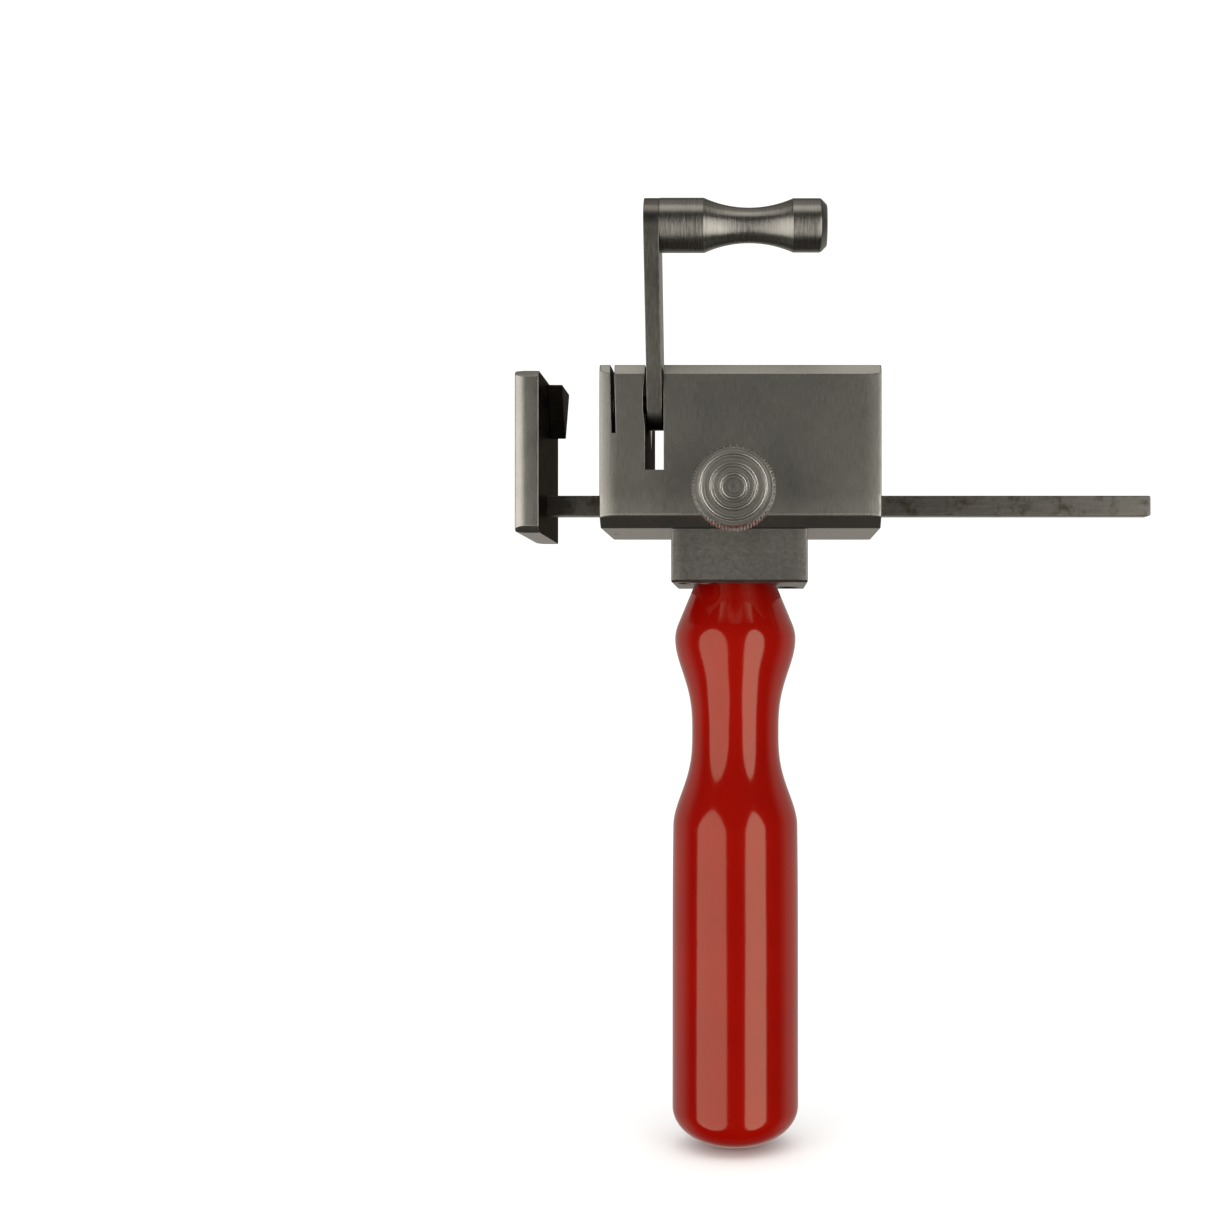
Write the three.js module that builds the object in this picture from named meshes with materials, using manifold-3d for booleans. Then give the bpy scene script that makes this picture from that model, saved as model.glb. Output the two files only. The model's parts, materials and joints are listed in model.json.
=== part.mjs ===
// Tube-cutting jig: a steel V-block on a turned wooden handle. A swinging lever holds a tube down
// in the groove, a sliding stop sets the length cut off, and a knurled thumb screw locks the stop.
//
// Millimetres, +Z up. The jig is held upright by its handle, with the groove on top.
// Sizes are written from the block's lower left back corner: x runs along the groove from the
// stop plate to the rod's free end, y runs from the handle's end to the groove, and z points
// out of the block's front face. At the end the whole jig is stood up, so that y becomes up and
// the front face looks along -Y, and moved so that the origin is the middle of the grip.

import * as THREE from 'three';
import { mergeVertices } from 'three/addons/utils/BufferGeometryUtils.js';
import Module from 'manifold-3d';

const wasm = await Module();
wasm.setup();

// ---- Driving dimensions -------------------------------------------------------------------

const GAP = 0.3;

const BLOCK_LENGTH = 50;
const BLOCK_HEIGHT = 28.9;
const BLOCK_DEPTH = 28.1;
const TOP_BEVEL_HEIGHT = 1.8;
const TOP_BEVEL_DEPTH = 0.9;
const FOOT_BEVEL_HEIGHT = 2.2;
const FOOT_BEVEL_DEPTH = 2.5;

const GROOVE_MIDDLE_Z = 11.1;
const GROOVE_HALF_WIDTH = 7.06;
const GROOVE_ROOT_Y = 15.95;

const SAW_SLOT_X = 2.13;
const SAW_SLOT_WIDTH = 0.73;
const SAW_SLOT_FLOOR_Y = 16.7;

const LEVER_SLOT_X = 8.1;
const LEVER_SLOT_WIDTH = 3.3;
const LEVER_SLOT_FLOOR_Y = 10.2;
const LEVER_THICKNESS = 2.5;
const LEVER_END_RADIUS = 4.6;
const LEVER_ARM = 31.1;
const LEVER_REST_LEAN_DEG = 17;
const PIVOT_Y = 22.4;
const PIVOT_Z = 23.3;
const PIVOT_PIN_RADIUS = 1.5;
const PIVOT_PIN_LEFT_X = 3.3;
const PIVOT_PIN_RIGHT_X = 16;

const SPOOL_LENGTH = 29.1;
const SPOOL_BASE_RADIUS = 4.65;
const SPOOL_END_RADIUS = 4.57;
const SPOOL_NECK_RADIUS = 3.0;
const SPOOL_BASE_LENGTH = 7.7;
const SPOOL_NECK_LENGTH = 15.5;
const SPOOL_SCREW_RADIUS = 1.9;
const SPOOL_SCREW_HEAD_RADIUS = 3.3;
const SPOOL_SCREW_HEAD_HEIGHT = 1.4;
const SPOOL_SCREW_REACH = 11;

const ROD_HEIGHT = 3.7;
const ROD_DEPTH = 3.8;
const ROD_MIDDLE_Y = 4.95;
const ROD_MIDDLE_Z = 15.1;
const ROD_RIGHT_X = 100.4;
const ROD_END_CHAMFER = 0.4;

const PLATE_THICKNESS = 4.3;
const PLATE_INNER_X = -10.7;
const PLATE_BACK_Z = 0.6;
const PLATE_BOTTOM_Y = -0.9;
const PLATE_TOP_Y = 27.9;
const PLATE_BEVEL = 1.2;

const NOSE_REACH = 2.75;
const NOSE_TOP_Y = 27.3;
const NOSE_TIP_Y = 18.1;
const NOSE_HALF_WIDTH = 5.6;
const NOSE_TIP_HALF_WIDTH = 0.25;
const NOSE_DOWEL_RADIUS = 0.8;
const NOSE_DOWEL_HEIGHTS = [21.6, 25];

const THUMB_X = 24;
const THUMB_Y = 5.6;
const THREAD_RADIUS = 2.5;
const KNOB_RADIUS = 7.2;
const KNOB_THICKNESS = 6;
const KNOB_BACK_Z = BLOCK_DEPTH + 8;
const KNOB_CHAMFER = 0.6;
const PAD_RADIUS = 2;
const PAD_THICKNESS = 1.5;
const PAD_SPIGOT_RADIUS = 1;
const PAD_SPIGOT_LENGTH = 2.5;

const HANDLE_BLOCK_LEFT_X = 12.6;
const HANDLE_BLOCK_RIGHT_X = 37;
const HANDLE_BLOCK_HEIGHT = 9.6;
const HANDLE_BLOCK_BACK_Z = 1.1;
const HANDLE_BLOCK_FRONT_Z = 25.9;
const BLOCK_SCREW_RADIUS = 2;
const BLOCK_SCREW_HEAD_RADIUS = 3.5;
const BLOCK_SCREW_HEAD_HEIGHT = 3.8;
const BLOCK_SCREW_TOP_Y = 9;
const BLOCK_SCREW_SOCKET_RADIUS = 1.7;
const BLOCK_SCREW_PLACES = { front: [17.2, 20.9], rear: [32.4, 6.3] };

const HANDLE_X = 23.9;
const HANDLE_Z = 14.05;
const HANDLE_TOP_RADIUS = 7.6;
const HANDLE_BULGE_RADIUS = 11.15;
const HANDLE_BULGE_Y = -20;
const HANDLE_WAIST_RADIUS = 7.9;
const HANDLE_WAIST_Y = -37;
const HANDLE_SHOULDER_Y = -52;
const HANDLE_GRIP_RADIUS = 11.58;
const HANDLE_GRIP_TOP_Y = -57;
const HANDLE_GRIP_END_Y = -106;
const HANDLE_END_Y = -113.2;
const HANDLE_BORE_Y = -32;
const STUD_RADIUS = 3;
const STUD_TOP_Y = -1.8;
const STUD_END_Y = -30;
const BUSH_RADIUS = 4.6;
const BUSH_END_Y = -26;

const TURNED_SIDES = 40;
const PIN_SIDES = 20;

// ---- Colours and finishes -----------------------------------------------------------------

function satinSteel(shade = 0x8b8880, roughness = 0.38) {
  return new THREE.MeshStandardMaterial({ color: shade, roughness, metalness: 1 });
}

function brass() {
  return new THREE.MeshStandardMaterial({ color: 0xb08d4a, roughness: 0.35, metalness: 1 });
}

function redLacquer() {
  return new THREE.MeshStandardMaterial({ color: 0xa01206, roughness: 0.16, metalness: 0 });
}

// ---- Solids: joining and cutting ----------------------------------------------------------

// A closed three.js geometry as a solid that can be joined and cut.
function solid(geometry) {
  const bare = geometry.index ? geometry.clone() : geometry;
  bare.deleteAttribute('normal');
  bare.deleteAttribute('uv');
  const merged = mergeVertices(bare, 1e-4);
  const corners = merged.index.array;
  const kept = [];
  for (let i = 0; i < corners.length; i += 3) {
    const [a, b, c] = corners.slice(i, i + 3);
    if (a !== b && b !== c && c !== a) {
      kept.push(a, b, c);
    }
  }
  return new wasm.Manifold(new wasm.Mesh({
    numProp: 3,
    vertProperties: new Float32Array(merged.attributes.position.array),
    triVerts: new Uint32Array(kept),
  }));
}

function geometryOf(body) {
  const mesh = body.getMesh();
  const geometry = new THREE.BufferGeometry();
  geometry.setAttribute('position', new THREE.BufferAttribute(new Float32Array(mesh.vertProperties), 3));
  geometry.setIndex(new THREE.BufferAttribute(new Uint32Array(mesh.triVerts), 1));
  geometry.computeVertexNormals();
  return geometry;
}

function cut(geometry, tools) {
  return geometryOf(tools.reduce((body, tool) => body.subtract(solid(tool)), solid(geometry)));
}

// ---- Solids: basic forms ------------------------------------------------------------------

function boxBetween(low, high) {
  const size = high.map((value, i) => value - low[i]);
  const box = new THREE.BoxGeometry(...size);
  return box.translate(...low.map((value, i) => value + size[i] / 2));
}

// An outline given as [z, y] points, drawn out along x.
function alongX(outline, leftX, length) {
  const shape = new THREE.Shape(outline.map(([z, y]) => new THREE.Vector2(z, y)));
  const bar = new THREE.ExtrudeGeometry(shape, { depth: length, bevelEnabled: false, curveSegments: 12 });
  return bar.rotateY(-Math.PI / 2).translate(leftX + length, 0, 0);
}

// A profile of [radius, distance] points turned about the y axis, lowest point first.
function turned(profile, sides = TURNED_SIDES) {
  return new THREE.LatheGeometry(profile.map(([r, d]) => new THREE.Vector2(r, d)), sides);
}

function turnedAboutX(profile, sides) {
  return turned(profile, sides).rotateZ(-Math.PI / 2);
}

function turnedAboutZ(profile, sides) {
  return turned(profile, sides).rotateX(Math.PI / 2);
}

function cylinderProfile(radius, from, to, chamfer = 0) {
  if (chamfer === 0) {
    return [[0, from], [radius, from], [radius, to], [0, to]];
  }
  const inner = radius - chamfer;
  return [[0, from], [inner, from], [radius, from + chamfer], [radius, to - chamfer], [inner, to], [0, to]];
}

// Points on an arc through two ends with the given sagitta, leaning towards smaller radius.
function hollowArc([startRadius, start], [endRadius, end], sagitta, steps) {
  const points = [];
  const halfChord = (end - start) / 2;
  const arcRadius = (halfChord ** 2 + sagitta ** 2) / (2 * sagitta);
  for (let i = 1; i < steps; i += 1) {
    const t = i / steps;
    const fromMiddle = (t - 0.5) * 2 * halfChord;
    const dip = Math.sqrt(arcRadius ** 2 - fromMiddle ** 2) - (arcRadius - sagitta);
    points.push([startRadius + (endRadius - startRadius) * t - dip, start + (end - start) * t]);
  }
  return points;
}

// ---- V-block ------------------------------------------------------------------------------

const rodLow = [ROD_MIDDLE_Y - ROD_HEIGHT / 2, ROD_MIDDLE_Z - ROD_DEPTH / 2];
const rodHigh = [ROD_MIDDLE_Y + ROD_HEIGHT / 2, ROD_MIDDLE_Z + ROD_DEPTH / 2];

// The square hole that the stop rod runs through, with its clearance.
function rodHole(leftX, rightX) {
  return boxBetween([leftX, rodLow[0] - GAP, rodLow[1] - GAP], [rightX, rodHigh[0] + GAP, rodHigh[1] + GAP]);
}

function blockOutline() {
  const grooveFrontZ = GROOVE_MIDDLE_Z + GROOVE_HALF_WIDTH;
  const grooveBackZ = GROOVE_MIDDLE_Z - GROOVE_HALF_WIDTH;
  return [
    [0, 0],
    [BLOCK_DEPTH - FOOT_BEVEL_DEPTH, 0],
    [BLOCK_DEPTH, FOOT_BEVEL_HEIGHT],
    [BLOCK_DEPTH, BLOCK_HEIGHT - TOP_BEVEL_HEIGHT],
    [BLOCK_DEPTH - TOP_BEVEL_DEPTH, BLOCK_HEIGHT],
    [grooveFrontZ, BLOCK_HEIGHT],
    [GROOVE_MIDDLE_Z, GROOVE_ROOT_Y],
    [grooveBackZ, BLOCK_HEIGHT],
    [0, BLOCK_HEIGHT],
  ];
}

function verticalSlot(leftX, width, floorY) {
  const past = 1;
  return boxBetween([leftX, floorY, -past], [leftX + width, BLOCK_HEIGHT + past, BLOCK_DEPTH + past]);
}

function blockScrewHole([x, z]) {
  const past = 1;
  const hole = cylinderProfile(BLOCK_SCREW_RADIUS + GAP, -past, BLOCK_SCREW_TOP_Y + GAP);
  return turned(hole, PIN_SIDES).translate(x, 0, z);
}

function vBlock() {
  const past = 1;
  const pinHole = turnedAboutX(
    cylinderProfile(PIVOT_PIN_RADIUS + GAP, -past, PIVOT_PIN_RIGHT_X + GAP), PIN_SIDES);
  const thumbHole = turnedAboutZ(
    cylinderProfile(THREAD_RADIUS + GAP, ROD_MIDDLE_Z, BLOCK_DEPTH + past), PIN_SIDES);
  return cut(alongX(blockOutline(), 0, BLOCK_LENGTH), [
    verticalSlot(SAW_SLOT_X, SAW_SLOT_WIDTH, SAW_SLOT_FLOOR_Y),
    verticalSlot(LEVER_SLOT_X, LEVER_SLOT_WIDTH, LEVER_SLOT_FLOOR_Y),
    rodHole(-past, BLOCK_LENGTH + past),
    pinHole.translate(0, PIVOT_Y, PIVOT_Z),
    thumbHole.translate(THUMB_X, THUMB_Y, 0),
    ...Object.values(BLOCK_SCREW_PLACES).map(blockScrewHole),
  ]);
}

function pivotPin() {
  const chamfer = 0.25;
  const pin = turnedAboutX(
    cylinderProfile(PIVOT_PIN_RADIUS, PIVOT_PIN_LEFT_X, PIVOT_PIN_RIGHT_X, chamfer), PIN_SIDES);
  return pin.translate(0, PIVOT_Y, PIVOT_Z);
}

// ---- Handle block and its fastenings ------------------------------------------------------

function handleBlock() {
  const past = 1;
  const edge = 0.5;
  const outline = [
    [HANDLE_BLOCK_BACK_Z, -HANDLE_BLOCK_HEIGHT],
    [HANDLE_BLOCK_FRONT_Z - edge, -HANDLE_BLOCK_HEIGHT],
    [HANDLE_BLOCK_FRONT_Z, -HANDLE_BLOCK_HEIGHT + edge],
    [HANDLE_BLOCK_FRONT_Z, 0],
    [HANDLE_BLOCK_BACK_Z, 0],
  ];
  const counterboreTop = -HANDLE_BLOCK_HEIGHT + 2 * GAP + BLOCK_SCREW_HEAD_HEIGHT;
  const counterbore = cylinderProfile(
    BLOCK_SCREW_HEAD_RADIUS + GAP, -HANDLE_BLOCK_HEIGHT - past, counterboreTop);
  const clearance = cylinderProfile(BLOCK_SCREW_RADIUS + GAP, -HANDLE_BLOCK_HEIGHT, past);
  const studHole = cylinderProfile(STUD_RADIUS + GAP, -HANDLE_BLOCK_HEIGHT - past, STUD_TOP_Y + GAP);
  const tools = [turned(studHole, PIN_SIDES).translate(HANDLE_X, 0, HANDLE_Z)];
  for (const [x, z] of Object.values(BLOCK_SCREW_PLACES)) {
    tools.push(turned(counterbore, PIN_SIDES).translate(x, 0, z));
    tools.push(turned(clearance, PIN_SIDES).translate(x, 0, z));
  }
  const length = HANDLE_BLOCK_RIGHT_X - HANDLE_BLOCK_LEFT_X;
  return cut(alongX(outline, HANDLE_BLOCK_LEFT_X, length), tools);
}

// A socket-head cap screw, head down, with a hexagon socket.
function blockScrew([x, z]) {
  const headBottom = -HANDLE_BLOCK_HEIGHT + GAP;
  const headTop = headBottom + BLOCK_SCREW_HEAD_HEIGHT;
  const profile = [
    [0, headBottom],
    [BLOCK_SCREW_HEAD_RADIUS, headBottom],
    [BLOCK_SCREW_HEAD_RADIUS, headTop],
    [BLOCK_SCREW_RADIUS, headTop],
    [BLOCK_SCREW_RADIUS, BLOCK_SCREW_TOP_Y],
    [0, BLOCK_SCREW_TOP_Y],
  ];
  const socketDepth = 2;
  const socket = turned(
    cylinderProfile(BLOCK_SCREW_SOCKET_RADIUS, headBottom - 1, headBottom + socketDepth), 6);
  return cut(turned(profile, PIN_SIDES), [socket]).translate(x, 0, z);
}

function handleStud() {
  const chamfer = 0.5;
  const stud = turned(cylinderProfile(STUD_RADIUS, STUD_END_Y, STUD_TOP_Y, chamfer), PIN_SIDES);
  return stud.translate(HANDLE_X, 0, HANDLE_Z);
}

function handleBush() {
  const top = -HANDLE_BLOCK_HEIGHT - GAP;
  const inner = STUD_RADIUS + GAP;
  const ring = [[inner, BUSH_END_Y], [BUSH_RADIUS, BUSH_END_Y], [BUSH_RADIUS, top], [inner, top], [inner, BUSH_END_Y]];
  return turned(ring, PIN_SIDES).translate(HANDLE_X, 0, HANDLE_Z);
}

// ---- Handle -------------------------------------------------------------------------------

// Half a cosine wave between two radii, for the bulge's and the shoulder's flanks.
function flank([fromRadius, from], [toRadius, to], steps) {
  const points = [];
  for (let i = 1; i <= steps; i += 1) {
    const t = i / steps;
    const blend = (1 - Math.cos(Math.PI * t)) / 2;
    points.push([fromRadius + (toRadius - fromRadius) * blend, from + (to - from) * t]);
  }
  return points;
}

function handleProfile() {
  const points = [[0, HANDLE_END_Y]];
  const endSteps = 8;
  for (let i = 1; i <= endSteps; i += 1) {
    const angle = (i / endSteps) * (Math.PI / 2);
    const round = HANDLE_GRIP_END_Y - HANDLE_END_Y;
    points.push([HANDLE_GRIP_RADIUS * Math.sin(angle), HANDLE_GRIP_END_Y - round * Math.cos(angle)]);
  }
  const shoulder = [HANDLE_GRIP_RADIUS - 0.25, HANDLE_SHOULDER_Y];
  const waist = [HANDLE_WAIST_RADIUS, HANDLE_WAIST_Y];
  const bulge = [HANDLE_BULGE_RADIUS, HANDLE_BULGE_Y];
  const knee = [HANDLE_BULGE_RADIUS - 0.5, HANDLE_BULGE_Y + 3];
  points.push([HANDLE_GRIP_RADIUS, HANDLE_GRIP_TOP_Y], shoulder);
  points.push(...flank(shoulder, waist, 8), ...flank(waist, bulge, 9), knee);
  points.push([HANDLE_TOP_RADIUS, -HANDLE_BLOCK_HEIGHT]);
  points.push([BUSH_RADIUS + GAP, -HANDLE_BLOCK_HEIGHT], [BUSH_RADIUS + GAP, HANDLE_BORE_Y], [0, HANDLE_BORE_Y]);
  return points;
}

function handle() {
  return turned(handleProfile()).translate(HANDLE_X, 0, HANDLE_Z);
}

// ---- Lever: drawn upright with its pivot at the origin ------------------------------------

const leverLeftX = LEVER_SLOT_X + (LEVER_SLOT_WIDTH - LEVER_THICKNESS) / 2;
const leverRightX = leverLeftX + LEVER_THICKNESS;

function spoolScrewProfile(grow) {
  const flush = 0.2;
  const headLeft = leverLeftX + (grow > 0 ? -1 : flush);
  const headRight = leverLeftX + flush + SPOOL_SCREW_HEAD_HEIGHT;
  return [
    [0, headLeft],
    [SPOOL_SCREW_HEAD_RADIUS + grow, headLeft],
    [SPOOL_SCREW_HEAD_RADIUS + grow, leverLeftX + flush],
    [SPOOL_SCREW_RADIUS + grow, headRight],
    [SPOOL_SCREW_RADIUS + grow, leverRightX + SPOOL_SCREW_REACH + grow],
    [0, leverRightX + SPOOL_SCREW_REACH + grow],
  ].filter((point, i, all) => i === 0 || point[0] !== all[i - 1][0] || point[1] !== all[i - 1][1]);
}

function spoolScrewHole() {
  return turnedAboutX(spoolScrewProfile(GAP), PIN_SIDES).translate(0, LEVER_ARM, 0);
}

function leverBar() {
  const steps = 12;
  const outline = [];
  for (let i = 0; i <= steps; i += 1) {
    const angle = Math.PI + (i / steps) * Math.PI;
    outline.push([LEVER_END_RADIUS * Math.cos(angle), LEVER_END_RADIUS * Math.sin(angle)]);
  }
  for (let i = 0; i <= steps; i += 1) {
    const angle = (i / steps) * Math.PI;
    outline.push([LEVER_END_RADIUS * Math.cos(angle), LEVER_ARM + LEVER_END_RADIUS * Math.sin(angle)]);
  }
  const pinHole = cylinderProfile(PIVOT_PIN_RADIUS + GAP, leverLeftX - 1, leverRightX + 1);
  return cut(alongX(outline, leverLeftX, LEVER_THICKNESS), [
    turnedAboutX(pinHole, PIN_SIDES),
    spoolScrewHole(),
  ]);
}

function leverSpool() {
  const neckStart = leverRightX + SPOOL_BASE_LENGTH;
  const neckEnd = neckStart + SPOOL_NECK_LENGTH;
  const end = leverRightX + SPOOL_LENGTH;
  const chamfer = 1.1;
  const sagitta = (SPOOL_BASE_RADIUS + SPOOL_END_RADIUS) / 2 - SPOOL_NECK_RADIUS;
  const baseEdge = [SPOOL_BASE_RADIUS, neckStart];
  const endEdge = [SPOOL_END_RADIUS, neckEnd];
  const profile = [
    [0, leverRightX],
    [SPOOL_BASE_RADIUS, leverRightX],
    baseEdge,
    ...hollowArc(baseEdge, endEdge, sagitta, 12),
    endEdge,
    [SPOOL_END_RADIUS, end - chamfer],
    [SPOOL_END_RADIUS - chamfer, end],
    [0, end],
  ];
  return cut(turnedAboutX(profile, 32).translate(0, LEVER_ARM, 0), [spoolScrewHole()]);
}

function spoolScrew() {
  return turnedAboutX(spoolScrewProfile(0), PIN_SIDES).translate(0, LEVER_ARM, 0);
}

// ---- Stop: plate, nose, dowels and rod ----------------------------------------------------

const plateLeftX = PLATE_INNER_X - PLATE_THICKNESS;

// A blind dowel hole or the dowel itself, across the joint of plate and nose.
function noseDowel(y, grow) {
  const intoPlate = 3;
  const intoNose = 1.9;
  const dowel = cylinderProfile(
    NOSE_DOWEL_RADIUS + grow, PLATE_INNER_X - intoPlate - grow, PLATE_INNER_X + intoNose + grow);
  return turnedAboutX(dowel, 12).translate(0, y, GROOVE_MIDDLE_Z);
}

function noseDowelHoles() {
  return NOSE_DOWEL_HEIGHTS.map((y) => noseDowel(y, GAP));
}

function stopPlate() {
  const past = 1;
  const outline = [
    [PLATE_BACK_Z, PLATE_BOTTOM_Y],
    [BLOCK_DEPTH - PLATE_BEVEL, PLATE_BOTTOM_Y],
    [BLOCK_DEPTH, PLATE_BOTTOM_Y + PLATE_BEVEL],
    [BLOCK_DEPTH, PLATE_TOP_Y - PLATE_BEVEL],
    [BLOCK_DEPTH - PLATE_BEVEL, PLATE_TOP_Y],
    [PLATE_BACK_Z, PLATE_TOP_Y],
  ];
  return cut(alongX(outline, plateLeftX, PLATE_THICKNESS), [
    rodHole(plateLeftX - past, PLATE_INNER_X + past),
    ...noseDowelHoles(),
  ]);
}

function stopNose() {
  const outline = [
    [GROOVE_MIDDLE_Z - NOSE_TIP_HALF_WIDTH, NOSE_TIP_Y],
    [GROOVE_MIDDLE_Z + NOSE_TIP_HALF_WIDTH, NOSE_TIP_Y],
    [GROOVE_MIDDLE_Z + NOSE_HALF_WIDTH, NOSE_TOP_Y],
    [GROOVE_MIDDLE_Z - NOSE_HALF_WIDTH, NOSE_TOP_Y],
  ];
  return cut(alongX(outline, PLATE_INNER_X, NOSE_REACH), noseDowelHoles());
}

// A square bar whose far end is chamfered all round.
function stopRod() {
  const bar = boxBetween([plateLeftX, ...rodLow], [ROD_RIGHT_X - ROD_END_CHAMFER, ...rodHigh]);
  const halfDiagonal = Math.SQRT1_2;
  const tip = new THREE.CylinderGeometry(
    (ROD_HEIGHT - 2 * ROD_END_CHAMFER) * halfDiagonal, ROD_HEIGHT * halfDiagonal, ROD_END_CHAMFER, 4);
  tip.rotateY(Math.PI / 4).scale(1, 1, ROD_DEPTH / ROD_HEIGHT).rotateZ(-Math.PI / 2);
  tip.translate(ROD_RIGHT_X - ROD_END_CHAMFER / 2, ROD_MIDDLE_Y, ROD_MIDDLE_Z);
  return geometryOf(solid(bar).add(solid(tip)));
}

// ---- Thumb screw and its pad --------------------------------------------------------------

const padZ = rodHigh[1] + GAP;
const screwTipZ = padZ + PAD_THICKNESS + GAP;

function clampPad() {
  const top = padZ + PAD_THICKNESS;
  const profile = [
    [0, padZ],
    [PAD_RADIUS, padZ],
    [PAD_RADIUS, top],
    [PAD_SPIGOT_RADIUS, top],
    [PAD_SPIGOT_RADIUS, top + PAD_SPIGOT_LENGTH],
    [0, top + PAD_SPIGOT_LENGTH],
  ];
  return turnedAboutZ(profile, PIN_SIDES).translate(THUMB_X, THUMB_Y, 0);
}

function thumbScrew() {
  const socketEnd = padZ + PAD_THICKNESS + PAD_SPIGOT_LENGTH + GAP;
  const shankEnd = KNOB_BACK_Z + KNOB_THICKNESS - 1.2;
  const socketRadius = PAD_SPIGOT_RADIUS + GAP;
  const profile = [
    [0, socketEnd],
    [socketRadius, socketEnd],
    [socketRadius, screwTipZ],
    [THREAD_RADIUS - 0.5, screwTipZ],
    [THREAD_RADIUS, screwTipZ + 0.5],
    [THREAD_RADIUS, shankEnd],
    [0, shankEnd],
  ];
  return turnedAboutZ(profile, PIN_SIDES).translate(THUMB_X, THUMB_Y, 0);
}

function thumbKnob() {
  const boreEnd = KNOB_BACK_Z + KNOB_THICKNESS - 1.2 + GAP;
  const boreRadius = THREAD_RADIUS + GAP;
  const front = KNOB_BACK_Z + KNOB_THICKNESS;
  const profile = [
    [0, boreEnd],
    [boreRadius, boreEnd],
    [boreRadius, KNOB_BACK_Z],
    [KNOB_RADIUS - KNOB_CHAMFER, KNOB_BACK_Z],
    [KNOB_RADIUS, KNOB_BACK_Z + KNOB_CHAMFER],
    [KNOB_RADIUS, front - KNOB_CHAMFER],
    [KNOB_RADIUS - KNOB_CHAMFER, front],
    [0, front],
  ];
  return turnedAboutZ(profile, 48).translate(THUMB_X, THUMB_Y, 0);
}

// ---- Assembly -----------------------------------------------------------------------------

const GRIP_MIDDLE_Y = (HANDLE_GRIP_TOP_Y + HANDLE_GRIP_END_Y) / 2;
const jig = new THREE.Group();
jig.rotation.x = Math.PI / 2;
jig.position.set(-HANDLE_X, HANDLE_Z, -GRIP_MIDDLE_Y);

function place(name, geometry, material, parent = jig) {
  const mesh = new THREE.Mesh(geometry, material);
  mesh.name = name;
  parent.add(mesh);
}

place('v_block', vBlock(), satinSteel());
place('lever_pin', pivotPin(), satinSteel(0xa5a29a, 0.25));
place('handle_block', handleBlock(), satinSteel(0x85827a, 0.42));
for (const [name, spot] of Object.entries(BLOCK_SCREW_PLACES)) {
  place(`block_screw_${name}`, blockScrew(spot), satinSteel(0x3b3a38, 0.45));
}
place('handle_stud', handleStud(), satinSteel(0x77746d, 0.45));
place('handle_bush', handleBush(), brass());
place('handle', handle(), redLacquer());

const lever = new THREE.Group();
lever.position.set(0, PIVOT_Y, PIVOT_Z);
lever.rotation.x = THREE.MathUtils.degToRad(LEVER_REST_LEAN_DEG);
jig.add(lever);
place('lever_bar', leverBar(), satinSteel(0x8f8c84, 0.34), lever);
place('lever_spool', leverSpool(), satinSteel(0xa09d95, 0.28), lever);
place('spool_screw', spoolScrew(), satinSteel(0x77746d, 0.4), lever);

place('stop_plate', stopPlate(), satinSteel());
place('stop_nose', stopNose(), satinSteel(0x6f6a62, 0.42));
NOSE_DOWEL_HEIGHTS.forEach((y, i) => {
  place(`nose_dowel_${i === 0 ? 'lower' : 'upper'}`, noseDowel(y, 0), satinSteel(0xa5a29a, 0.25));
});
place('stop_rod', stopRod(), satinSteel(0x918d80, 0.4));

place('clamp_pad', clampPad(), brass());
place('thumb_screw', thumbScrew(), satinSteel(0x77746d, 0.4));
place('thumb_knob', thumbKnob(), satinSteel(0xb0ada6, 0.25));

export default jig;
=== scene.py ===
import json
import math

import bmesh
import bpy
from mathutils import Matrix, Vector


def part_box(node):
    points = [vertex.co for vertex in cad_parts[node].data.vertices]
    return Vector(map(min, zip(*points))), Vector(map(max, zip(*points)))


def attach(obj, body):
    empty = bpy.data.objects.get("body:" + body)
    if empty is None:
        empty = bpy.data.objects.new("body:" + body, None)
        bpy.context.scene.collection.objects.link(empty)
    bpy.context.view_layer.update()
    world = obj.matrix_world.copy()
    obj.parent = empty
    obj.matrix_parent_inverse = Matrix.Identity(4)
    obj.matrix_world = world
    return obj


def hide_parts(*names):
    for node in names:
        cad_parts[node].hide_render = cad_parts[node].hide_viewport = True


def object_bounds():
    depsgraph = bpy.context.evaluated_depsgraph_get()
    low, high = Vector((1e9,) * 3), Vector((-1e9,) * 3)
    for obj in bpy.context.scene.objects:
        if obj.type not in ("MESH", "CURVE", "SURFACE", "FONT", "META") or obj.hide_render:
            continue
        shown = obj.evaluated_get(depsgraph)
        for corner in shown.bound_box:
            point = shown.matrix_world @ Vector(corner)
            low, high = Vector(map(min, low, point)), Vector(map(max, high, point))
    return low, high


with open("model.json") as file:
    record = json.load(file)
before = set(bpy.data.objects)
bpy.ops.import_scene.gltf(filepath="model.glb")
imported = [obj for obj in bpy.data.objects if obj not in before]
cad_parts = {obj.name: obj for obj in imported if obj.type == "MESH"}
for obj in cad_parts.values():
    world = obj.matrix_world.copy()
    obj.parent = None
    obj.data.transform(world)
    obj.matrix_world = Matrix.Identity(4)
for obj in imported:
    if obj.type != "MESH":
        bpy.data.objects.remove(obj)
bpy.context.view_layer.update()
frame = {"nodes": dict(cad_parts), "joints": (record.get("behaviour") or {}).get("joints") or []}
MM = 0.001


# ---- Places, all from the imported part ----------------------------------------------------

# Every rigid piece is drawn in millimetres in a frame of its own. A bar has x along the groove,
# y up and z out of the block's front face, which is -Y in the part's frame. A turned piece has z
# along its own axis.
STAND_UP = Matrix.Rotation(math.pi / 2, 4, "X")


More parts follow.
